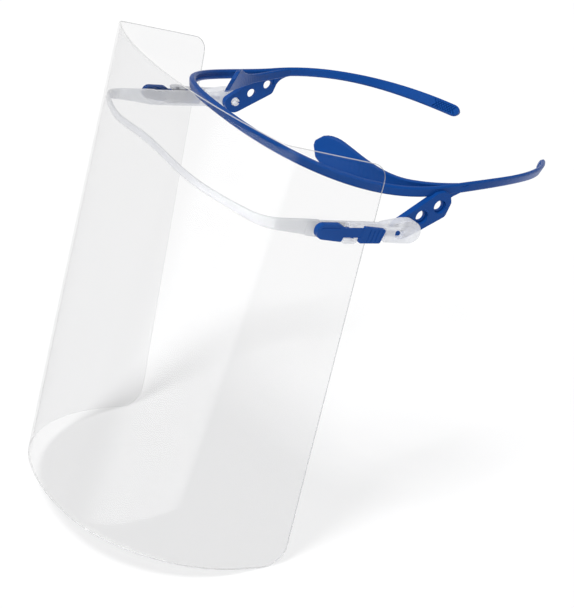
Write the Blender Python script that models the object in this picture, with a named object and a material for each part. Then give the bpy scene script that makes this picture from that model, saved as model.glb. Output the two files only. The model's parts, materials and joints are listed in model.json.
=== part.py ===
"""Face shield: a head frame, a clear carrier that pivots on it, a bent visor sheet and two latches.

Lengths are in millimetres until the end of each mesh, where MM turns them into metres.
Each piece is drawn from the middle of the pivot axis; at the end the whole object is moved so
that its box is centred. The wearer looks along -Y, +X is the wearer's left.
"""

from math import asin, atan2, cos, pi, radians, sin, sqrt, tan

import bmesh
import bpy
from mathutils import Matrix, Vector

MM = 0.001

# Head frame: an oval loop around the head, open at the back
LOOP_HALF_WIDTH = 71.7
LOOP_CENTRE_Y = 16.4
LOOP_FRONT = 57.3
LOOP_REAR = 83.5
LOOP_FRONT_SQUARENESS = 2.4
LOOP_END_ANGLE = radians(153.5)
LOOP_SIDE_HEIGHT = 10.6
BROW_SLOPE = 0.123
BROW_CURVE = 0.0034
TEMPLE_SLOPE = 0.075
TEMPLE_CURVE = -0.0023
BAR_HEIGHT = 3.9
BAR_THICKNESS = 2.6
TEMPLE_THICKNESS = 1.8
TEMPLE_END_HEIGHT = 5.2
TEMPLE_LEAN = radians(30)
TIP_ANGLE = radians(2.4)
GRIP_ANGLE = radians(148)
GRIP_PITCH = 1.3
GRIP_COUNT = 7
GRIP_SLANT = radians(52)
GRIP_DEPTH = 0.3
GRIP_HALF_LENGTH = 2.2
GROOVE_DEPTH = 0.7

# Forehead paddles: the three control points of their centre line, on the left side
PADDLE_ROOT = Vector((71.0, 26.0, 9.6))
PADDLE_MIDDLE = Vector((63.8, -5.8, 12.5))
PADDLE_TIP = Vector((37.0, -17.9, 24.1))
PADDLE_THICKNESS = 2.0
PADDLE_RISE = 5.7
PADDLE_DROP = 4.5
PADDLE_LEAN = 0.56

# Brackets: flat plates under the loop with a row of three holes
BRACKET_INNER_X = 71.6
BRACKET_OUTER_X = 74.6
WEB_X = (70.8, 72.2)
HOLE_PITCH = 8.35
HOLE_RADIUS = 2.0
COUNTERBORE_RADIUS = 2.75
COUNTERBORE_DEPTH = 1.6
HOLE_ROW_ANGLE = radians(17.8)

# Visor sheet: every cross-section is a wide front arc, a corner arc and a straight side
SHEET_THICKNESS = 0.8
SHEET_HEIGHT = 182.9
SHEET_HALF_ARC = 119.6
SHEET_FLARE = 0.065
SHEET_SECTION_TILT = radians(20.4)
SHEET_TOP = Vector((0.0, -64.9, 48.9))
SHEET_BOTTOM = Vector((0.0, -123.8, -124.2))
SHEET_HALF_WIDTH_ARM = 75.3
SHEET_NARROWING = 0.03
FRONT_RADIUS_TOP = 203.0
FRONT_RADIUS_BOTTOM = 112.0
CORNER_RADIUS_TOP = 3.8
CORNER_RADIUS_BOTTOM = 60.0
SHEET_TOP_ROUNDING = 5.8
SHEET_BOTTOM_ROUNDING = 9.2
SHEET_BOTTOM_RISE = 10.4
SHEET_STEP = 1.8

# Carrier arms: two leaves with the sheet between them, joined behind its edge
ARM_RISE = radians(12.5)
ARM_LOW = -3.9
ARM_TOP = 3.5
INNER_LEAF_TOP = 2.6
ARM_DEPTH_ON_SHEET = 27.0
ARM_INNER_X = 75.0
ARM_OUTER_X = 80.0
POCKET_X = (77.95, 79.75)
LEAF_THICKNESS = 1.4
LINK_THICKNESS = 0.4
ARM_FLARE = 0.064
ARM_END_RADIUS = 4.3
BAND_THICKNESS = 1.4
BAND_GAP = 0.5
BAND_HALF_ARC = 99.0
BAND_DEPTH = 27.4
BAND_DIP = 3.0
BAND_END_RISE = 1.4
BAND_HEIGHT = 2.9
BAND_END_GROWTH = 4.2

# Latches: rockers on the outer leaf
LATCH_A = 25.3
LATCH_X = 79.5
LATCH_INNER_X = 78.1
LATCH_OUTER_X = 81.0
GAP = 0.3


def clear_scene():
    for item in list(bpy.data.objects):
        bpy.data.objects.remove(item, do_unlink=True)


def material(name, colour, roughness, alpha=1.0):
    made = bpy.data.materials.new(name)
    made.use_nodes = True
    shader = made.node_tree.nodes["Principled BSDF"]
    shader.inputs["Base Color"].default_value = (*colour, 1.0)
    shader.inputs["Roughness"].default_value = roughness
    shader.inputs["Metallic"].default_value = 0.0
    shader.inputs["Alpha"].default_value = alpha
    return made


def smoothstep(low, high, value):
    t = min(max((value - low) / (high - low), 0.0), 1.0)
    return t * t * (3 - 2 * t)


def mix(a, b, t):
    return a + (b - a) * t


def add_object(name, mesh_builder, location=(0, 0, 0), rotation=(0, 0, 0)):
    """An object whose mesh is given in millimetres by a function that fills a bmesh."""
    bm = bmesh.new()
    mesh_builder(bm)
    bmesh.ops.transform(bm, matrix=Matrix.Scale(MM, 4), verts=bm.verts)
    bmesh.ops.recalc_face_normals(bm, faces=bm.faces)
    mesh = bpy.data.meshes.new(name)
    bm.to_mesh(mesh)
    bm.free()
    made = bpy.data.objects.new(name, mesh)
    made.location = Vector(location) * MM
    made.rotation_euler = rotation
    bpy.context.scene.collection.objects.link(made)
    return made


def loft(bm, rings):
    """Join rings of equal length into a tube and close its ends."""
    loops = [[bm.verts.new(p) for p in ring] for ring in rings]
    count = len(loops[0])
    for near, far in zip(loops, loops[1:]):
        for i in range(count):
            j = (i + 1) % count
            bm.faces.new((near[i], near[j], far[j], far[i]))
    bm.faces.new(loops[0])
    bm.faces.new(loops[-1])


def rounded(points, radii, steps=6):
    """A closed outline with each corner replaced by an arc of its radius."""
    outline = []
    for i, (corner, radius) in enumerate(zip(points, radii)):
        corner = Vector(corner)
        to_last = (Vector(points[i - 1]) - corner).normalized()
        to_next = (Vector(points[(i + 1) % len(points)]) - corner).normalized()
        half = to_last.angle(to_next) / 2
        start = corner + to_last * (radius / tan(half))
        end = corner + to_next * (radius / tan(half))
        centre = corner + (to_last + to_next).normalized() * (radius / sin(half))
        first = atan2(*(start - centre).yx)
        turn = (atan2(*(end - centre).yx) - first + pi) % (2 * pi) - pi
        for k in range(steps + 1):
            angle = first + turn * k / steps
            outline.append(centre + radius * Vector((cos(angle), sin(angle))))
    return outline


def circle(centre, radius, steps=32):
    angles = [2 * pi * k / steps for k in range(steps)]
    return [Vector(centre) + radius * Vector((cos(a), sin(a))) for a in angles]


def plate(outline, x_from, x_to, place):
    """A builder for an outline extruded along X; place(x, u, v) gives the point in space."""
    return lambda bm: loft(bm, [[place(x, *p) for p in outline] for x in (x_from, x_to)])


def apply_booleans(target, tools, operation):
    """Join or cut the target with each tool, then remove the tools."""
    for tool in tools:
        step = target.modifiers.new(tool.name, "BOOLEAN")
        step.operation = operation
        step.solver = "EXACT"
        step.object = tool
        bpy.context.view_layer.update()
        graph = bpy.context.evaluated_depsgraph_get()
        result = bpy.data.meshes.new_from_object(target.evaluated_get(graph))
        target.modifiers.clear()
        target.data = result
        bpy.data.objects.remove(tool, do_unlink=True)


def finish(target, name, look, smooth_angle=35):
    target.name = name
    target.data.name = name
    target.data.materials.clear()
    target.data.materials.append(look)
    target.data.polygons.foreach_set("use_smooth", [True] * len(target.data.polygons))
    target.data.set_sharp_from_angle(angle=radians(smooth_angle))
    return target


# ---- head frame ----


def power_share(value, exponent):
    """A sine or cosine reshaped so that an oval becomes squarer above exponent 2."""
    size = abs(value) ** (2 / exponent)
    return size if value >= 0 else -size


def loop_point(angle):
    """The centre line of the loop: angle 0 is the middle of the brow, positive is the left."""
    at_front = cos(angle) > 0
    squareness = LOOP_FRONT_SQUARENESS if at_front else 2.0
    reach = LOOP_FRONT if at_front else LOOP_REAR
    ahead = reach * power_share(cos(angle), squareness)
    if at_front:
        height = LOOP_SIDE_HEIGHT + BROW_SLOPE * ahead + BROW_CURVE * ahead**2
    else:
        height = LOOP_SIDE_HEIGHT + TEMPLE_SLOPE * ahead + TEMPLE_CURVE * ahead**2
    x = LOOP_HALF_WIDTH * power_share(sin(angle), squareness)
    return Vector((x, LOOP_CENTRE_Y - ahead, height))


def upright_frame(along):
    """The outward and upward directions of a section across a path."""
    outward = Vector((along.y, -along.x, 0)).normalized()
    upright = outward.cross(along)
    return outward, upright if upright.z > 0 else -upright


def loop_axes(angle):
    """Along, outward and upward directions of the loop; its temples lean with their top outwards."""
    step = 0.01
    along = (loop_point(angle + step) - loop_point(angle - step)).normalized()
    outward, upright = upright_frame(along)
    lean = TEMPLE_LEAN * smoothstep(radians(95), radians(130), abs(angle))
    leaned = outward * cos(lean) - upright * sin(lean)
    return along, leaned, upright * cos(lean) + outward * sin(lean)


def loop_section(angle):
    """One ring of the loop: brow bar with a groove inside, running into the temples."""
    turned = abs(angle)
    _, outward, upright = loop_axes(angle)
    to_temple = smoothstep(radians(70), radians(105), turned)
    broad = smoothstep(radians(110), radians(148), turned)
    height = mix(BAR_HEIGHT, TEMPLE_END_HEIGHT, broad)
    thickness = mix(BAR_THICKNESS, TEMPLE_THICKNESS, to_temple)
    groove = GROOVE_DEPTH * (1 - smoothstep(radians(60), radians(85), turned))
    from_end = min((LOOP_END_ANGLE - turned) / TIP_ANGLE, 1.0)
    tip = sqrt(max(0.06, 1 - (1 - from_end) ** 2))
    h = height / 2 * tip
    t = thickness / 2
    corner = 0.7 * tip
    profile = [
        (t, h - corner),
        (t - corner * 0.3, h - corner * 0.3),
        (t - corner, h),
        (-t + corner, h),
        (-t, h - corner),
        (-t, h * 0.42),
        (-t + groove, h * 0.3),
        (-t + groove, -h * 0.3),
        (-t, -h * 0.42),
        (-t, -h + corner),
        (-t + corner, -h),
        (t - corner, -h),
        (t - corner * 0.3, -h + corner * 0.3),
        (t, -h + corner),
    ]
    centre = loop_point(angle)
    return [centre + outward * u + upright * v for u, v in profile]


def loop_builder(bm):
    steps = 50
    half = [(LOOP_END_ANGLE - TIP_ANGLE) * k / steps for k in range(1, steps + 1)]
    half += [LOOP_END_ANGLE - TIP_ANGLE * (1 - sin(pi / 2 * k / 6)) for k in range(1, 7)]
    angles = [-angle for angle in reversed(half)] + [0.0] + half
    loft(bm, [loop_section(angle) for angle in angles])


def grip_groove(side, index, slant, depth):
    """A V-shaped groove across the inner face of a temple end."""
    centre = loop_point(side * GRIP_ANGLE)
    along, outward, upright = loop_axes(side * GRIP_ANGLE)
    run = along * cos(slant) + upright * sin(slant)
    across = upright * cos(slant) - along * sin(slant)
    middle = centre + along * GRIP_PITCH * (index - (GRIP_COUNT - 1) / 2)
    face = -TEMPLE_THICKNESS / 2
    profile = [(face + depth, 0.0), (face - 1.0, 0.9), (face - 1.0, -0.9)]

    def build(bm):
        ends = (middle - run * GRIP_HALF_LENGTH, middle + run * GRIP_HALF_LENGTH)
        loft(bm, [[end + outward * u + across * v for u, v in profile] for end in ends])

    return build


def paddle_centre(t):
    return PADDLE_ROOT * (1 - t) ** 2 + PADDLE_MIDDLE * 2 * t * (1 - t) + PADDLE_TIP * t**2


def paddle_section(t):
    """One ring of a paddle: a thin neck that widens, mostly upwards, into a rounded leaf."""
    along = (paddle_centre(t + 0.01) - paddle_centre(t - 0.01)).normalized()
    outward, _ = upright_frame(along)
    widening = smoothstep(0.31, 0.85, t)
    rearward = outward if outward.y > 0 else -outward
    upright = Vector((0, 0, 1)) + rearward * PADDLE_LEAN * widening
    top_end = max(0.0, (t - 0.82) / 0.18)
    low_end = max(0.0, (t - 0.93) / 0.07)
    top = mix(1.8, PADDLE_RISE, widening) * sqrt(max(0.04, 1 - top_end**2))
    low = mix(1.8, PADDLE_DROP, widening) * sqrt(max(0.04, 1 - low_end**2))
    half = PADDLE_THICKNESS / 2
    edge = 0.35
    profile = [
        (half, top - edge),
        (half - edge, top),
        (-half + edge, top),
        (-half, top - edge),
        (-half, -low + edge),
        (-half + edge, -low),
        (half - edge, -low),
        (half, -low + edge),
    ]
    return [paddle_centre(t) + outward * u + upright * v for u, v in profile]


def paddle_builder(side):
    def build(bm):
        steps = 30
        rings = [paddle_section(k / steps) for k in range(steps + 1)]
        loft(bm, [[Vector((p.x * side, p.y, p.z)) for p in ring] for ring in rings])

    return build


def hole_centre(index):
    return Vector((cos(HOLE_ROW_ANGLE), sin(HOLE_ROW_ANGLE))) * HOLE_PITCH * index


def bracket_outline():
    """Side view of a bracket: a strip along the holes that rises in front of the loop."""
    along = Vector((cos(HOLE_ROW_ANGLE), sin(HOLE_ROW_ANGLE)))
    across = Vector((-along.y, along.x))
    corners = [
        along * -4.9 - across * 4.9,
        along * 17.5 - across * 4.9,
        Vector((20.9, 5.8)),
        Vector((20.4, 10.8)),
        Vector((15.1, 10.8)),
        along * -4.9 + across * 3.0,
    ]
    return rounded(corners, [4.7, 2.5, 1.5, 3.0, 2.0, 3.0])


def web_outline():
    """Side view of the thinner web that runs from a bracket's rear edge into the temple."""
    corners = [(18.9, 4.0), (21.6, 6.8), (30.0, 9.0), (31.0, 10.0), (18.9, 10.0)]
    return rounded(corners, [0.3, 6.0, 0.3, 0.3, 0.5])


def straight_place(side):
    return lambda x, y, z: Vector((x * side, y, z))


def make_frame(look):
    frame = add_object("loop", loop_builder)
    joined = []
    cutters = []
    for side in (1, -1):
        place = straight_place(side)
        joined.append(add_object("paddle", paddle_builder(side)))
        plate_shape = plate(bracket_outline(), BRACKET_INNER_X, BRACKET_OUTER_X, place)
        joined.append(add_object("bracket", plate_shape))
        joined.append(add_object("web", plate(web_outline(), WEB_X[0], WEB_X[1], place)))
        for index in range(3):
            centre = hole_centre(index)
            through = plate(circle(centre, HOLE_RADIUS), 66.0, 80.0, place)
            floor = BRACKET_OUTER_X - COUNTERBORE_DEPTH
            bore = plate(circle(centre, COUNTERBORE_RADIUS), floor, 80.0, place)
            cutters.append(add_object("hole", through))
            cutters.append(add_object("bore", bore))
        for index in range(GRIP_COUNT):
            rising = grip_groove(side, index, GRIP_SLANT, GRIP_DEPTH)
            falling = grip_groove(side, index, -GRIP_SLANT, GRIP_DEPTH - 0.04)
            cutters.append(add_object("grip", rising))
            cutters.append(add_object("grip", falling))
    apply_booleans(frame, joined, "UNION")
    apply_booleans(frame, cutters, "DIFFERENCE")
    return finish(frame, "head_frame", look)


# ---- visor sheet ----


def sheet_section(depth, arc):
    """Half-width and run-back of the sheet at an arc length from its middle, plus its heading."""
    t = depth / SHEET_HEIGHT
    width = SHEET_HALF_WIDTH_ARM - SHEET_NARROWING * (depth - ARM_DEPTH_ON_SHEET)
    front = mix(FRONT_RADIUS_TOP, FRONT_RADIUS_BOTTOM, t)
    corner = mix(CORNER_RADIUS_TOP, CORNER_RADIUS_BOTTOM, t)
    side_heading = pi / 2 - SHEET_FLARE
    turn = asin((width - corner * sin(side_heading)) / (front - corner))
    front_arc = front * turn
    corner_arc = corner * (side_heading - turn)
    length = abs(arc)
    if length < front_arc:
        heading = length / front
        x = front * sin(heading)
        back = front * (1 - cos(heading))
    elif length < front_arc + corner_arc:
        heading = turn + (length - front_arc) / corner
        x = front * sin(turn) + corner * (sin(heading) - sin(turn))
        back = front * (1 - cos(turn)) + corner * (cos(turn) - cos(heading))
    else:
        heading = side_heading
        straight = length - front_arc - corner_arc
        x = width + straight * cos(heading)
        back = front * (1 - cos(turn)) + corner * (cos(turn) - cos(heading))
        back += straight * sin(heading)
    side = 1 if arc >= 0 else -1
    return x * side, back, heading * side


def sheet_point(arc, depth, inward=0.0):
    """A point on the middle surface of the sheet, or that far inside it."""
    x, back, heading = sheet_section(depth, arc)
    x -= inward * sin(heading)
    back += inward * cos(heading)
    front = SHEET_TOP.lerp(SHEET_BOTTOM, depth / SHEET_HEIGHT)
    run = Vector((0, cos(SHEET_SECTION_TILT), -sin(SHEET_SECTION_TILT)))
    return front + Vector((x, 0, 0)) + run * back


def rounding(distance, radius):
    """How far a rounded corner pulls an edge in at this distance from the corner."""
    if distance >= radius:
        return 0.0
    return radius - sqrt(radius**2 - (radius - distance) ** 2)


def half_arc(depth):
    """Half the sheet's width along its bend: a little more above the arms than below them."""
    return SHEET_HALF_ARC + SHEET_STEP * (1 - smoothstep(23, 30, depth))


def sheet_arcs():
    """Columns across the sheet: closer together at the folds and the rounded edges."""
    half = [65.0 * k / 13 for k in range(14)]
    half += [mix(69.5, 84.0, k / 14) for k in range(15)]
    half += [mix(88.0, 108.0, k / 5) for k in range(6)]
    half += [SHEET_HALF_ARC - 9.2 * (1 - sin(pi / 2 * k / 7)) for k in range(8)]
    return [-arc for arc in reversed(half[1:])] + half


def sheet_builder(bm):
    levels = [k / 24 for k in range(6)] + [0.25 + 0.75 * k / 8 for k in range(9)]
    half = SHEET_THICKNESS / 2
    rings = []
    for arc in sheet_arcs():
        to_edge = max(SHEET_HALF_ARC - abs(arc), 0.0)
        top = rounding(to_edge, SHEET_TOP_ROUNDING)
        rise = SHEET_BOTTOM_RISE * (arc / SHEET_HALF_ARC) ** 2
        bottom = SHEET_HEIGHT - rise - rounding(to_edge, SHEET_BOTTOM_ROUNDING)
        share = arc / SHEET_HALF_ARC
        depths = [mix(top, bottom, level) for level in levels]
        places = [(share * half_arc(depth), depth) for depth in depths]
        inside = [sheet_point(*place, half) for place in places]
        outside = [sheet_point(*place, -half) for place in places]
        rings.append(inside + outside[::-1])
    loft(bm, rings)


def make_sheet(look):
    sheet = add_object("sheet", sheet_builder)
    return finish(sheet, "visor_sheet", look, 60)


# ---- carrier ----


def arm_place(side):
    """Arm coordinates: a runs forward from the pivot along the arm, b is across it."""

    def place(x, a, b):
        y = -a * cos(ARM_RISE) + b * sin(ARM_RISE)
        z = a * sin(ARM_RISE) + b * cos(ARM_RISE)
        return Vector((x * side, y, z))

    return place


def band_section(arc):
    """One ring of the front band, lying against the inside of the sheet."""
    along = abs(arc)
    depth = BAND_DEPTH + BAND_DIP * smoothstep(0, 45, along)
    depth -= BAND_END_RISE * smoothstep(75, 100, along)
    height = BAND_HEIGHT + BAND_END_GROWTH * max(0.0, (along - 45) / 55) ** 2.2
    near = SHEET_THICKNESS / 2 + BAND_GAP
    far = near + BAND_THICKNESS
    top = depth - height / 2
    low = depth + height / 2
    edge = 0.4
    profile = [
        (near, top + edge),
        (near + edge, top),
        (far - edge, top),
        (far, top + edge),
        (far, low - edge),
        (far - edge, low),
        (near + edge, low),
        (near, low - edge),
    ]
    return [sheet_point(arc, down, inward) for inward, down in profile]


def band_builder(bm):
    steps = 88
    arcs = [mix(-BAND_HALF_ARC, BAND_HALF_ARC, k / steps) for k in range(steps + 1)]
    loft(bm, [band_section(arc) for arc in arcs])


def flared_plate(outline, inner_x, outer_x, place, flare=(ARM_FLARE, ARM_FLARE)):
    """A plate whose two faces lean inwards towards the front, each by its own flare."""

    def build(bm):
        faces = zip((inner_x, outer_x), flare)
        loft(bm, [[place(x - lean * a, a, b) for a, b in outline] for x, lean in faces])

    return build


def arm_end():
    """Side view of the solid rear of an arm: a round end on the pivot."""
    r = ARM_END_RADIUS
    corners = [(-r, -r), (4.0, -r), (11.9, ARM_LOW), (11.9, ARM_TOP - 0.8), (3.0, r), (-r, r)]
    return rounded(corners, [r - 0.1, 2.0, 0.3, 0.3, 2.0, r - 0.1])


def arm_inner_leaf():
    top = INNER_LEAF_TOP
    low = ARM_LOW
    corners = [(4.0, low), (36.0, low), (43.0, -3.2), (43.0, 2.2), (36.0, top), (4.0, top)]
    return rounded(corners, [0.5, 3.0, 0.5, 0.5, 3.0, 0.5])


def arm_outer_leaf():
    corners = [(4.0, ARM_LOW), (30.0, ARM_LOW), (30.0, ARM_TOP), (4.0, ARM_TOP)]
    return rounded(corners, [0.5, 0.5, 0.5, 0.5])


def carrier_joined(side):
    place = arm_place(side)
    pocket_in, pocket_out = POCKET_X
    lug_inner = pocket_out - 1.2
    lug_outer = LATCH_OUTER_X - 0.1
    lug_top = ARM_TOP + 0.3
    low_lug = [(24.0, -4.2), (29.7, -4.2), (29.7, -2.2), (24.0, -2.2)]
    low_lug = rounded(low_lug, [0.8, 0.8, 0.3, 0.3])
    top_lug = [(22.0, 2.1), (28.3, 2.1), (28.3, lug_top), (22.0, lug_top)]
    top_lug = rounded(top_lug, [0.4, 0.4, 0.8, 0.8])
    stud_end = BRACKET_INNER_X - 0.7
    boss_end = BRACKET_OUTER_X - COUNTERBORE_DEPTH + GAP
    shapes = [
        flared_plate(arm_inner_leaf(), pocket_in - LEAF_THICKNESS, pocket_in, place),
        flared_plate(arm_outer_leaf(), pocket_out, ARM_OUTER_X - 0.05, place, (ARM_FLARE, 0)),
        plate(arm_end(), ARM_INNER_X, ARM_OUTER_X, place),
        plate(top_lug, lug_inner, lug_outer, place),
        plate(low_lug, lug_inner, lug_outer, place),
        plate(circle((0, 0), COUNTERBORE_RADIUS - GAP), boss_end, ARM_INNER_X + 0.5, place),
        plate(circle((0, 0), HOLE_RADIUS - GAP), stud_end, ARM_INNER_X + 0.6, place),
    ]
    return [add_object("shape", shape) for shape in shapes]


def carrier_cutters(side):
    place = arm_place(side)
    link_outer = POCKET_X[1] + LINK_THICKNESS
    beyond = LATCH_OUTER_X + 3.0
    window = rounded([(11.2, -6.0), (23.6, -6.0), (21.7, 2.6), (11.2, 1.8)], [0.2, 0.2, 0.6, 0.6])
    waist = [(20.0, -2.2), (31.0, -2.2), (31.0, 2.2), (20.0, 2.2)]
    front = [(28.5, 6.0), (28.5, 0.5), (29.9, -2.0), (29.9, -6.0), (34.0, -6.0), (34.0, 6.0)]
    tunnel = [(3.8, -2.1), (12.5, -2.1), (12.5, 0.7), (3.8, 0.7)]
    opening = rounded([(3.4, -2.3), (6.9, -2.3), (6.9, 0.9), (3.4, 0.9)], [1.0] * 4)
    split = [(-3.0, -0.4), (3.0, -0.4), (3.0, 0.4), (-3.0, 0.4)]
    stud_start = BRACKET_INNER_X - 3.0
    stud_depth = BRACKET_INNER_X + 2.0

    def pivot_bore(bm):
        ring = circle((LATCH_X, LATCH_A), 0.95, 18)
        loft(bm, [[place(x, a, b) for x, a in ring] for b in (-3.7, 3.3)])

    shapes = [
        pivot_bore,
        plate(window, 77.0, beyond, place),
        flared_plate(waist, link_outer, beyond, place, (ARM_FLARE, 0)),
        plate(front, 77.3, beyond, place),
        plate(tunnel, 76.3, 79.3, place),
        plate(opening, 76.6, beyond, place),
        plate(split, stud_start, stud_depth, place),
        plate(circle((0, 0), 0.8), stud_start, stud_depth, place),
    ]
    return [add_object("cut", shape) for shape in shapes]


def make_carrier(look):
    carrier = add_object("band", band_builder)
    apply_booleans(carrier, carrier_joined(1) + carrier_joined(-1), "UNION")
    apply_booleans(carrier, carrier_cutters(1) + carrier_cutters(-1), "DIFFERENCE")
    return finish(carrier, "visor_carrier", look)


# ---- latches ----


def make_latch(side, name, look):
    """A rocker: front pill, narrow waist between the lugs, ribbed thumb pad and a spring tail."""
    axis = Vector((LATCH_X, LATCH_A))

    def place(x, a, b):
        return Vector(((x - axis.x) * side, axis.y - a, b))

    pill = rounded([(30.4, -3.5), (41.4, -2.3), (41.4, 3.2), (29.0, 3.2)], [0.8, 2.6, 2.8, 2.6])
    ridge = rounded([(31.5, 1.1), (39.8, 1.1), (39.8, 1.8), (31.5, 1.8)], [0.2] * 4, 2)
    waist = [(19.0, -1.8), (33.0, -1.8), (33.0, 1.8), (19.0, 1.8)]
    pad = rounded([(13.4, -4.1), (23.1, -4.1), (21.3, 2.3), (11.6, 1.5)], [0.8, 1.0, 0.8, 0.8])
    tail = rounded([(4.1, -1.6), (14.0, -1.6), (14.0, 0.2), (4.1, 0.2)], [0.8, 0.1, 0.1, 0.8])
    tail_root = [(12.6, -1.5), (14.4, -1.5), (14.4, 0.1), (12.6, 0.1)]
    inner, outer = LATCH_INNER_X, LATCH_OUTER_X
    joined = [
        plate(ridge, outer - 0.4, outer + 0.35, place),
        plate(waist, LATCH_X - 0.4, outer - 0.3, place),
        plate(pad, inner + 1.1, outer - 0.2, place),
        plate(tail, inner + 0.2, inner + 0.9, place),
        plate(tail_root, inner + 0.3, inner + 1.8, place),
    ]
    parts = [add_object("shape", shape) for shape in joined]

    def stub(bm):
        ring = circle((0.0, 0.0), 0.65, 16)
        loft(bm, [[Vector((x, y, z)) for x, y in ring] for z in (-3.35, 2.95)])

    parts.append(add_object("shape", stub))
    grooves = []
    for k in range(4):
        a = 13.9 + 1.8 * k
        groove = [(a - 0.3, -3.5), (a + 0.3, -3.5), (a - 0.7, 1.2), (a - 1.3, 1.2)]
        grooves.append(add_object("cut", plate(groove, outer - 0.4, outer + 1.0, place)))
    latch = add_object(name, plate(pill, inner, outer, place))
    apply_booleans(latch, parts, "UNION")
    apply_booleans(latch, grooves, "DIFFERENCE")
    latch.location = arm_place(side)(LATCH_X, LATCH_A, 0.0) * MM
    latch.rotation_euler = (-ARM_RISE, 0, 0)
    return finish(latch, name, look)


def centre_on_box(objects):
    """Move the objects together so that the middle of their common box is the origin."""
    bpy.context.view_layer.update()
    points = [item.matrix_world @ v.co for item in objects for v in item.data.vertices]
    low = Vector([min(p[axis] for p in points) for axis in range(3)])
    high = Vector([max(p[axis] for p in points) for axis in range(3)])
    for item in objects:
        item.location -= (low + high) / 2


def main():
    clear_scene()
    blue = material("blue_plastic", (0.02, 0.075, 0.36), 0.4)
    latch_blue = material("latch_blue_plastic", (0.02, 0.08, 0.38), 0.35)
    frosted = material("frosted_plastic", (0.86, 0.88, 0.9), 0.45, 0.6)
    clear = material("clear_sheet", (0.93, 0.95, 0.96), 0.05, 0.25)
    made = [
        make_frame(blue),
        make_carrier(frosted),
        make_sheet(clear),
        make_latch(1, "latch_left", latch_blue),
        make_latch(-1, "latch_right", latch_blue),
    ]
    centre_on_box(made)


main()
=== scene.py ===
import json
from math import asin, cos, pi, radians, sin, sqrt

import bpy
from mathutils import Matrix, Vector


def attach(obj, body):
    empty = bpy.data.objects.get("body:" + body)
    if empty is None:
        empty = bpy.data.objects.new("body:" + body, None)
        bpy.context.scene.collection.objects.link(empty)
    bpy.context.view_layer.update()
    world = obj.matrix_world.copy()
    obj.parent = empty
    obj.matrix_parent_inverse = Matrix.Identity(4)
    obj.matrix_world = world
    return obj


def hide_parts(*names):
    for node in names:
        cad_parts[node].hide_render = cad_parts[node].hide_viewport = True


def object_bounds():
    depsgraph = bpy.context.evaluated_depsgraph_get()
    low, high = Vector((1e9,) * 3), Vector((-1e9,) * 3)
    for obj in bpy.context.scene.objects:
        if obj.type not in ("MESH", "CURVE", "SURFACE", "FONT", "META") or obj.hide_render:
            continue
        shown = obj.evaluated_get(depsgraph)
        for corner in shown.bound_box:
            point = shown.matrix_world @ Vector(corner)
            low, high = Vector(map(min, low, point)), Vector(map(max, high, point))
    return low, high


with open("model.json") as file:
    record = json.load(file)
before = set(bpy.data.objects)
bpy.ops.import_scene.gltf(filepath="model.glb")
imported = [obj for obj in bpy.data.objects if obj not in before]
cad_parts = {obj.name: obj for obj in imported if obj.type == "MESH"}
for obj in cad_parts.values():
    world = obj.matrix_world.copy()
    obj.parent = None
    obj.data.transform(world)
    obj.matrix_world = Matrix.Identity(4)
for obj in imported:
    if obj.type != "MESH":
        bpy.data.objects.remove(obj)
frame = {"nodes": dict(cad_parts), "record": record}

CAD_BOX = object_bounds()
JOINTS = {joint["name"]: joint for joint in frame["record"]["behaviour"]["joints"]}
PIVOT = Vector(JOINTS["visor_tilt"]["pos_m"])

# Camera: its direction from the object, its distance and its lens
CAMERA_AZIMUTH = radians(62.8)
CAMERA_ELEVATION = radians(27.4)
CAMERA_DISTANCE = 0.779
CAMERA_TARGET = PIVOT + Vector((0.0164, -0.0197, -0.0548))
CAMERA_LENS = 118.7
CAMERA_SENSOR = 36.0
CAMERA_CLIP_START = 0.01

# Floor: just under the object's lowest point
FLOOR_GAP = 0.0004
FLOOR_REACH = 6.0
FLOOR_COLOUR = (0.95, 0.95, 0.95, 1.0)

# Light: an even surround and one soft sun
WORLD_COLOUR = (1.0, 1.0, 1.0, 1.0)
WORLD_STRENGTH = 0.3
SUN_STRENGTH = 2.68
SUN_AZIMUTH = radians(33)
SUN_ELEVATION = radians(66)
SUN_SOFTNESS = radians(15)

# A glowing card that only mirrors in the sheet. Its two long sides stand for two lines down the
# sheet: each has an arc length from the sheet's centre line at the top, in millimetres, and a
# slant, the arc that it loses for each millimetre down. The fade gives the glow at shares of the
# way from the first side to the second.
CARD_GLOW = 8.5
CARD_DISTANCE = 0.08
CARD_REACH = 0.0825
CARD_FIRST_ARC = 27.0
CARD_FIRST_SLANT = 0.05
CARD_SECOND_ARC = 85.0
CARD_SECOND_SLANT = 0.085
CARD_OVERHANG = 6.0
CARD_FADE = ((0.2, 0.16), (0.42, 1.0), (0.94, 1.0))
CARD_ROWS = 24
CARD_COLUMNS = 48

# Shadows: how much light the opaque pieces let through, and what each skin of the sheet holds back
SHADOW_LIGHTENING = 0.88
SHEET_SHADOW_TINT = 0.89

# Colours: each plastic drifts between a darker and a lighter tone
BLACK = (0.0, 0.0, 0.0, 1.0)
BLUE_TONES = ((0.004, 0.055, 0.26, 1.0), (0.006, 0.07, 0.31, 1.0))
FROSTED_TONES = ((0.83, 0.84, 0.86, 1.0), (0.92, 0.92, 0.94, 1.0))
FROSTED_TINT = (0.95, 0.96, 0.97, 1.0)
SHEET_TONES = ((0.958, 0.958, 0.959, 1.0), (0.964, 0.964, 0.965, 1.0))
EDGE_TONES = ((0.38, 0.39, 0.4, 1.0), (0.5, 0.51, 0.52, 1.0))
# Painted top light: the sheet's cut edge is coloured paler where it faces up, as if lit from above
EDGE_PAINTED_TOP_LIGHT = (0.9, 0.9, 0.9, 1.0)

# Surface relief, and the rounding that softens the carrier's edges, in metres
RELIEF_DEPTH = 0.0002
FROSTED_EDGE_RADIUS = 0.0002

# How solid the sheet's cut edge looks: bare, and where it's seen through the sheet
EDGE_SOLID_BARE = 0.6
EDGE_SOLID_BEHIND = 0.1

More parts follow.
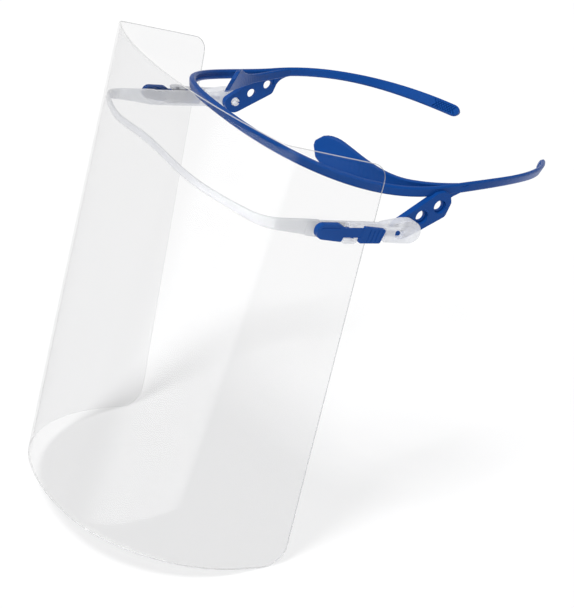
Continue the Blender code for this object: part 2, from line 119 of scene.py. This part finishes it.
# Visor sheet, in millimetres: the same bent sheet as the CAD one, with finer steps
MM = 0.001
SHEET_THICKNESS = 0.8
SHEET_HEIGHT = 182.9
SHEET_HALF_ARC = 119.6
SHEET_FLARE = 0.065
SHEET_SECTION_TILT = radians(20.4)
SHEET_TOP = Vector((0.0, -64.9, 48.9))
SHEET_BOTTOM = Vector((0.0, -123.8, -124.2))
SHEET_HALF_WIDTH_ARM = 75.3
SHEET_NARROWING = 0.03
ARM_DEPTH_ON_SHEET = 27.0
FRONT_RADIUS_TOP = 203.0
FRONT_RADIUS_BOTTOM = 112.0
CORNER_RADIUS_TOP = 3.8
CORNER_RADIUS_BOTTOM = 60.0
SHEET_TOP_ROUNDING = 5.8
SHEET_BOTTOM_ROUNDING = 9.2
SHEET_BOTTOM_RISE = 10.4
SHEET_STEP = 1.8
STEP_FROM = 23.0
STEP_TO = 30.0

# How finely the sheet is built, and how far its cut edge bulges out and thins
SHEET_ROWS = 90
EVEN_COLUMNS = 120
EVEN_MARGIN = 10.0
CLOSE_COLUMNS = 14
EDGE_BULGE = 0.25
EDGE_THINNING = 0.6
SHARP_ANGLE = radians(50)


def camera_axes():
    """Right, up and back of the camera, as unit vectors."""
    a, e = CAMERA_AZIMUTH, CAMERA_ELEVATION
    back = Vector((sin(a) * cos(e), -cos(a) * cos(e), sin(e)))
    right = Vector((cos(a), sin(a), 0.0))
    return right, back.cross(right), back


def add_camera():
    """The scene's camera, a long lens that looks down on the object from its front right."""
    right, up, back = camera_axes()
    data = bpy.data.cameras.new("camera")
    data.sensor_fit = "HORIZONTAL"
    data.sensor_width = CAMERA_SENSOR
    data.lens = CAMERA_LENS
    data.clip_start = CAMERA_CLIP_START
    made = bpy.data.objects.new("camera", data)
    turn = Matrix((right, up, back)).transposed().to_4x4()
    made.matrix_world = Matrix.Translation(CAMERA_TARGET + back * CAMERA_DISTANCE) @ turn
    bpy.context.scene.collection.objects.link(made)
    bpy.context.scene.camera = made


def node_material(name):
    """A new material without nodes, with its node list and its link list."""
    made = bpy.data.materials.new(name)
    made.use_nodes = True
    made.node_tree.nodes.clear()
    return made, made.node_tree.nodes, made.node_tree.links


def add_node(nodes, kind, inputs=None, **settings):
    """A new node with these values on its inputs and these settings."""
    made = nodes.new(kind)
    for key, value in settings.items():
        setattr(made, key, value)
    for key, value in (inputs or {}).items():
        made.inputs[key].default_value = value
    return made


def blended(nodes, links, share, first, second):
    """Two looks mixed by a value: all of the first at 0, all of the second at 1."""
    made = add_node(nodes, "ShaderNodeMixShader")
    links.new(share, made.inputs["Fac"])
    links.new(first, made.inputs[1])
    links.new(second, made.inputs[2])
    return made.outputs["Shader"]


def with_shadow(nodes, links, look, share, tint):
    """Connect a look to the output, but let that share of the light through in its shadow."""
    out = add_node(nodes, "ShaderNodeOutputMaterial")
    path = add_node(nodes, "ShaderNodeLightPath")
    amount = add_node(nodes, "ShaderNodeMath", {1: share}, operation="MULTIPLY")
    clear = add_node(nodes, "ShaderNodeBsdfTransparent", {"Color": (tint, tint, tint, 1.0)})
    links.new(path.outputs["Is Shadow Ray"], amount.inputs[0])
    lightened = blended(nodes, links, amount.outputs["Value"], look, clear.outputs["BSDF"])
    links.new(lightened, out.inputs["Surface"])


def noise(nodes, links, scale, detail=2.0):
    """Cloudy noise that sticks to the piece: the larger the scale, the finer the clouds."""
    place = add_node(nodes, "ShaderNodeTexCoord")
    made = add_node(nodes, "ShaderNodeTexNoise", {"Scale": scale, "Detail": detail})
    links.new(place.outputs["Object"], made.inputs["Vector"])
    return made.outputs["Fac"]


def mottled(nodes, links, tones, scale, detail=2.0):
    """A colour that drifts between two tones."""
    ramp = add_node(nodes, "ShaderNodeValToRGB")
    for stop, tone in zip(ramp.color_ramp.elements, tones):
        stop.color = tone
    links.new(noise(nodes, links, scale, detail), ramp.inputs["Fac"])
    return ramp.outputs["Color"]


def relief(nodes, links, scale, strength):
    """A fine relief, as the node whose normal goes to a shader."""
    made = add_node(nodes, "ShaderNodeBump", {"Strength": strength, "Distance": RELIEF_DEPTH})
    links.new(noise(nodes, links, scale), made.inputs["Height"])
    return made


def facing_share(nodes, links, at_centre, at_grazing, power):
    """A value that climbs from one amount to another as the surface turns edge-on."""
    facing = add_node(nodes, "ShaderNodeLayerWeight", {"Blend": 0.5})
    curve = add_node(nodes, "ShaderNodeMath", {1: power}, operation="POWER")
    ends = {"To Min": at_centre, "To Max": at_grazing}
    amount = add_node(nodes, "ShaderNodeMapRange", ends)
    links.new(facing.outputs["Facing"], curve.inputs[0])
    links.new(curve.outputs["Value"], amount.inputs["Value"])
    return amount.outputs["Result"]


def blue_plastic():
    """Satin moulded plastic: slight mottling in colour and a very fine spark-eroded grain."""
    made, nodes, links = node_material("blue_moulded_plastic")
    finish = {"Roughness": 0.36, "Specular IOR Level": 0.13}
    body = add_node(nodes, "ShaderNodeBsdfPrincipled", finish)
    links.new(mottled(nodes, links, BLUE_TONES, scale=60.0, detail=3.0), body.inputs["Base Color"])
    grain = relief(nodes, links, scale=2600.0, strength=0.06)
    links.new(grain.outputs["Normal"], body.inputs["Normal"])
    with_shadow(nodes, links, body.outputs["BSDF"], SHADOW_LIGHTENING, 1.0)
    return made


def frosted_plastic():
    """Milky clear plastic: part see-through, part soft white, with a fine orange-peel skin."""
    made, nodes, links = node_material("frosted_clear_plastic")
    body = add_node(nodes, "ShaderNodeBsdfPrincipled", {"Roughness": 0.28})
    links.new(mottled(nodes, links, FROSTED_TONES, scale=160.0), body.inputs["Base Color"])
    soft_edge = add_node(nodes, "ShaderNodeBevel", {"Radius": FROSTED_EDGE_RADIUS}, samples=4)
    peel = relief(nodes, links, scale=900.0, strength=0.15)
    links.new(soft_edge.outputs["Normal"], peel.inputs["Normal"])
    links.new(peel.outputs["Normal"], body.inputs["Normal"])
    through = add_node(nodes, "ShaderNodeBsdfTransparent", {"Color": FROSTED_TINT})
    share = facing_share(nodes, links, at_centre=0.5, at_grazing=0.85, power=1.5)
    look = blended(nodes, links, share, through.outputs["BSDF"], body.outputs["BSDF"])
    with_shadow(nodes, links, look, SHADOW_LIGHTENING, 1.0)
    return made


def clear_sheet():
    """Thin clear plastic: a faint grey tint, sharp reflections that grow towards edge-on."""
    made, nodes, links = node_material("clear_visor_plastic")
    through = add_node(nodes, "ShaderNodeBsdfTransparent")
    links.new(mottled(nodes, links, SHEET_TONES, scale=9.0), through.inputs["Color"])
    shine = add_node(nodes, "ShaderNodeBsdfGlossy", {"Roughness": 0.03})
    share = facing_share(nodes, links, at_centre=0.006, at_grazing=0.6, power=9.0)
    look = blended(nodes, links, share, through.outputs["BSDF"], shine.outputs["BSDF"])
    with_shadow(nodes, links, look, 1.0, SHEET_SHADOW_TINT)
    return made


def sheet_edge():
    """The sheet's cut edge: a milky line with painted top light, paler where it faces up, that fades
    when seen through the sheet.
    """
    made, nodes, links = node_material("cut_sheet_edge")
    face = add_node(nodes, "ShaderNodeNewGeometry")
    split = add_node(nodes, "ShaderNodeSeparateXYZ")
    # Painted top light: the edge's colour turns paler as its normal points up
    colour = add_node(nodes, "ShaderNodeMixRGB", {"Color2": EDGE_PAINTED_TOP_LIGHT})
    body = add_node(nodes, "ShaderNodeBsdfPrincipled", {"Roughness": 0.25})
    links.new(face.outputs["Normal"], split.inputs["Vector"])
    links.new(split.outputs["Z"], colour.inputs["Fac"])
    links.new(mottled(nodes, links, EDGE_TONES, scale=220.0), colour.inputs["Color1"])
    links.new(colour.outputs["Color"], body.inputs["Base Color"])
    path = add_node(nodes, "ShaderNodeLightPath")
    ends = {"From Min": 1.0, "From Max": 2.0, "To Min": EDGE_SOLID_BARE, "To Max": EDGE_SOLID_BEHIND}
    share = add_node(nodes, "ShaderNodeMapRange", ends)
    through = add_node(nodes, "ShaderNodeBsdfTransparent")
    links.new(path.outputs["Transparent Depth"], share.inputs["Value"])
    solid = share.outputs["Result"]
    look = blended(nodes, links, solid, through.outputs["BSDF"], body.outputs["BSDF"])
    with_shadow(nodes, links, look, 1.0, SHEET_SHADOW_TINT)
    return made


def floor_material():
    """Plain matt white."""
    made, nodes, links = node_material("pale_floor")
    out = add_node(nodes, "ShaderNodeOutputMaterial")
    shader = add_node(nodes, "ShaderNodeBsdfDiffuse", {"Color": FLOOR_COLOUR})
    links.new(shader.outputs["BSDF"], out.inputs["Surface"])
    return made


def card_material():
    """A glowing card that fades in slowly from its first long side and quickly from the second.

    It reaches only as far as the sheet, so that it mirrors in the sheet but not in the frame.
    """
    made, nodes, links = node_material("glowing_card")
    out = add_node(nodes, "ShaderNodeOutputMaterial")
    glow = add_node(nodes, "ShaderNodeEmission")
    across = add_node(nodes, "ShaderNodeUVMap")
    split = add_node(nodes, "ShaderNodeSeparateXYZ")
    fade = add_node(nodes, "ShaderNodeValToRGB")
    for stop in fade.color_ramp.elements:
        stop.color = BLACK
    for position, level in CARD_FADE:
        fade.color_ramp.elements.new(position).color = (level, level, level, 1.0)
    path = add_node(nodes, "ShaderNodeLightPath")
    near = add_node(nodes, "ShaderNodeMath", {1: CARD_REACH}, operation="LESS_THAN")
    reach = add_node(nodes, "ShaderNodeMath", operation="MULTIPLY")
    strength = add_node(nodes, "ShaderNodeMath", {1: CARD_GLOW}, operation="MULTIPLY")
    links.new(across.outputs["UV"], split.inputs["Vector"])
    links.new(split.outputs["X"], fade.inputs["Fac"])
    links.new(path.outputs["Ray Length"], near.inputs[0])
    links.new(near.outputs["Value"], reach.inputs[0])
    links.new(fade.outputs["Color"], reach.inputs[1])
    links.new(reach.outputs["Value"], strength.inputs[0])
    links.new(strength.outputs["Value"], glow.inputs["Strength"])
    links.new(glow.outputs["Emission"], out.inputs["Surface"])
    return made


def mix(a, b, t):
    """The value that lies at share t of the way from a to b."""
    return a + (b - a) * t


def sheet_point(arc, depth, inward):
    """A point of the sheet, in metres.

    It lies at an arc length from the centre line, at a depth below the top edge, and so far
    inward of the sheet's middle surface. A cross-section has a wide front arc, a tight arc at
    each corner and a straight side behind it; the radii change evenly from top to bottom.
    """
    t = depth / SHEET_HEIGHT
    width = SHEET_HALF_WIDTH_ARM - SHEET_NARROWING * (depth - ARM_DEPTH_ON_SHEET)
    front = mix(FRONT_RADIUS_TOP, FRONT_RADIUS_BOTTOM, t)
    corner = mix(CORNER_RADIUS_TOP, CORNER_RADIUS_BOTTOM, t)
    side_heading = pi / 2 - SHEET_FLARE
    turn = asin((width - corner * sin(side_heading)) / (front - corner))
    front_arc = front * turn
    corner_arc = corner * (side_heading - turn)
    length = abs(arc)
    heading = min(length / front, turn)
    x = front * sin(heading)
    back = front * (1 - cos(heading))
    if length > front_arc:
        heading = min(turn + (length - front_arc) / corner, side_heading)
        x += corner * (sin(heading) - sin(turn))
        back += corner * (cos(turn) - cos(heading))
    straight = max(length - front_arc - corner_arc, 0.0)
    x += straight * cos(side_heading) - inward * sin(heading)
    back += straight * sin(side_heading) + inward * cos(heading)
    side = 1 if arc >= 0 else -1
    run = Vector((0.0, cos(SHEET_SECTION_TILT), -sin(SHEET_SECTION_TILT)))
    point = SHEET_TOP.lerp(SHEET_BOTTOM, t) + Vector((x * side, 0, 0)) + run * back
    return PIVOT + point * MM


def rounding(distance, radius):
    """How far a rounded corner pulls an edge in at this distance from the corner."""
    if distance >= radius:
        return 0.0
    return radius - sqrt(radius**2 - (radius - distance) ** 2)


def half_arc(depth):
    """Half the sheet's width along its bend: a little more above the arms than below them."""
    t = min(max((depth - STEP_FROM) / (STEP_TO - STEP_FROM), 0.0), 1.0)
    return SHEET_HALF_ARC + SHEET_STEP * (1 - t * t * (3 - 2 * t))


def sheet_ring(arc, swell):
    """One closed ring down the inside of the sheet and up its outside, at an arc length.

    The swell scales the thickness, and thins it at the side edges.
    """
    half = SHEET_THICKNESS / 2
    to_edge = max(SHEET_HALF_ARC - abs(arc), 0.0)
    top = rounding(to_edge, SHEET_TOP_ROUNDING)
    share = arc / SHEET_HALF_ARC
    rise = SHEET_BOTTOM_RISE * share**2
    bottom = SHEET_HEIGHT - rise - rounding(to_edge, SHEET_BOTTOM_ROUNDING)
    depths = [mix(top, bottom, row / SHEET_ROWS) for row in range(SHEET_ROWS + 1)]
    thinned = half * swell * EDGE_THINNING
    path = [(depth, half * swell) for depth in depths]
    path += [(bottom + EDGE_BULGE, inward) for inward in (thinned, -thinned)]
    path += [(depth, -half * swell) for depth in reversed(depths)]
    path += [(top - EDGE_BULGE, inward) for inward in (-thinned, thinned)]
    return [sheet_point(share * half_arc(depth), depth, inward) for depth, inward in path]


def ring_arcs():
    """Where the rings stand: evenly over the middle, closer and closer towards the side edges."""
    flat = SHEET_HALF_ARC - EVEN_MARGIN
    half = [flat * k / EVEN_COLUMNS for k in range(EVEN_COLUMNS + 1)]
    for k in range(CLOSE_COLUMNS + 1):
        to_edge = SHEET_BOTTOM_ROUNDING * (1 - sin(pi / 2 * k / CLOSE_COLUMNS))
        half.append(SHEET_HALF_ARC - to_edge)
    return [-arc for arc in reversed(half[1:])] + half


def sheet_faces(ring_count, ring_size):
    """Faces between neighbouring rings and over the two end rings, and which are the cut edge."""
    per_side = SHEET_ROWS + 1
    bottom_edge = range(per_side - 1, per_side + 2)
    top_edge = range(ring_size - 3, ring_size)
    faces = []
    edge_faces = []
    for ring in range(ring_count - 1):
        near, far = ring * ring_size, (ring + 1) * ring_size
        for i in range(ring_size):
            j = (i + 1) % ring_size
            if i in bottom_edge or i in top_edge or ring in (0, ring_count - 2):
                edge_faces.append(len(faces))
            faces.append((near + i, near + j, far + j, far + i))
    for start in (0, (ring_count - 1) * ring_size):
        for i in range(per_side - 1):
            across = 2 * per_side + 1 - i
            edge_faces.append(len(faces))
            faces.append((start + i, start + i + 1, start + across - 1, start + across))
    return faces, edge_faces


def add_clear_sheet():
    """The visor sheet with smooth bends, rounded corners and a separate look on its cut edge."""
    rings = [sheet_ring(arc, 1.0) for arc in ring_arcs()]
    rings.insert(0, sheet_ring(-SHEET_HALF_ARC, EDGE_THINNING))
    rings.append(sheet_ring(SHEET_HALF_ARC, EDGE_THINNING))
    faces, edge_faces = sheet_faces(len(rings), len(rings[0]))
    mesh = bpy.data.meshes.new("visor_clear_sheet")
    mesh.from_pydata([point for ring in rings for point in ring], [], faces)
    mesh.materials.append(clear_sheet())
    mesh.materials.append(sheet_edge())
    for index in edge_faces:
        mesh.polygons[index].material_index = 1
    mesh.polygons.foreach_set("use_smooth", [True] * len(mesh.polygons))
    mesh.set_sharp_from_angle(angle=SHARP_ANGLE)
    made = bpy.data.objects.new("visor_clear_sheet", mesh)
    bpy.context.scene.collection.objects.link(made)
    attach(made, "sheet")
    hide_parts("visor_sheet")


def dress_nodes():
    """Give the CAD pieces that show their materials."""
    blue = blue_plastic()
    looks = {
        "head_frame": blue,
        "latch_left": blue,
        "latch_right": blue,
        "visor_carrier": frosted_plastic(),
    }
    for name, look in looks.items():
        node = frame["nodes"][name]
        node.data.materials.clear()
        node.data.materials.append(look)


def add_floor():
    """A square floor under the rest pose."""
    low, high = CAD_BOX
    z = low[2] - FLOOR_GAP
    signs = ((-1, -1), (1, -1), (1, 1), (-1, 1))
    corners = [(FLOOR_REACH * x, FLOOR_REACH * y, z) for x, y in signs]
    mesh = bpy.data.meshes.new("floor")
    mesh.from_pydata(corners, [], [(0, 1, 2, 3)])
    made = bpy.data.objects.new("floor", mesh)
    made.data.materials.append(floor_material())
    bpy.context.scene.collection.objects.link(made)


def add_sun():
    """Light from one direction, so that the floor is evenly bright to the edges of the view."""
    data = bpy.data.lights.new("key", "SUN")
    data.energy = SUN_STRENGTH
    data.angle = SUN_SOFTNESS
    made = bpy.data.objects.new("key", data)
    flat = cos(SUN_ELEVATION)
    towards = Vector((sin(SUN_AZIMUTH) * flat, -cos(SUN_AZIMUTH) * flat, sin(SUN_ELEVATION)))
    made.rotation_euler = towards.to_track_quat("Z", "Y").to_euler()
    bpy.context.scene.collection.objects.link(made)


def mirrored_ray(arc, depth, eye):
    """A point of the sheet, and where the eye's line of sight goes after it mirrors there."""
    reach = 0.5
    point = sheet_point(arc, depth, 0.0)
    along = sheet_point(arc + reach, depth, 0.0) - sheet_point(arc - reach, depth, 0.0)
    down = sheet_point(arc, depth + reach, 0.0) - sheet_point(arc, depth - reach, 0.0)
    normal = down.cross(along).normalized()
    to_eye = (eye - point).normalized()
    return point, 2 * normal.dot(to_eye) * normal - to_eye


def card_grid():
    """The card's points, row by row, and for each its share of the way across."""
    eye = CAMERA_TARGET + camera_axes()[2] * CAMERA_DISTANCE
    points = []
    shares = []
    for row in range(CARD_ROWS + 1):
        depth = mix(-CARD_OVERHANG, SHEET_HEIGHT + CARD_OVERHANG, row / CARD_ROWS)
        on_sheet = min(max(depth, 0.0), SHEET_HEIGHT)
        first = CARD_FIRST_ARC - CARD_FIRST_SLANT * depth
        second = CARD_SECOND_ARC - CARD_SECOND_SLANT * depth
        for column in range(CARD_COLUMNS + 1):
            share = column / CARD_COLUMNS
            point, ray = mirrored_ray(mix(first, second, share), on_sheet, eye)
            points.append(point + ray * CARD_DISTANCE)
            shares.append(share)
    return points, shares


def add_card():
    """A bent softbox beside the shield, seen only as the pale stripe that it leaves on the sheet."""
    points, shares = card_grid()
    faces = []
    for row in range(CARD_ROWS):
        for column in range(CARD_COLUMNS):
            a = row * (CARD_COLUMNS + 1) + column
            faces.append((a, a + 1, a + CARD_COLUMNS + 2, a + CARD_COLUMNS + 1))
    mesh = bpy.data.meshes.new("card")
    mesh.from_pydata(points, [], faces)
    layer = mesh.uv_layers.new(name="across")
    for loop in mesh.loops:
        layer.data[loop.index].uv = (shares[loop.vertex_index], 0.5)
    mesh.materials.append(card_material())
    made = bpy.data.objects.new("card", mesh)
    bpy.context.scene.collection.objects.link(made)
    made.visible_camera = False
    made.visible_diffuse = False
    made.visible_shadow = False
    made.visible_transmission = False


def add_lighting():
    """The surround, the sun and the card, with colours shown as they are."""
    world = bpy.data.worlds.new("world")
    world.use_nodes = True
    background = world.node_tree.nodes["Background"]
    background.inputs["Color"].default_value = WORLD_COLOUR
    background.inputs["Strength"].default_value = WORLD_STRENGTH
    bpy.context.scene.world = world
    add_sun()
    add_card()
    bpy.context.scene.view_settings.view_transform = "Standard"


add_camera()
dress_nodes()
add_clear_sheet()
add_floor()
add_lighting()
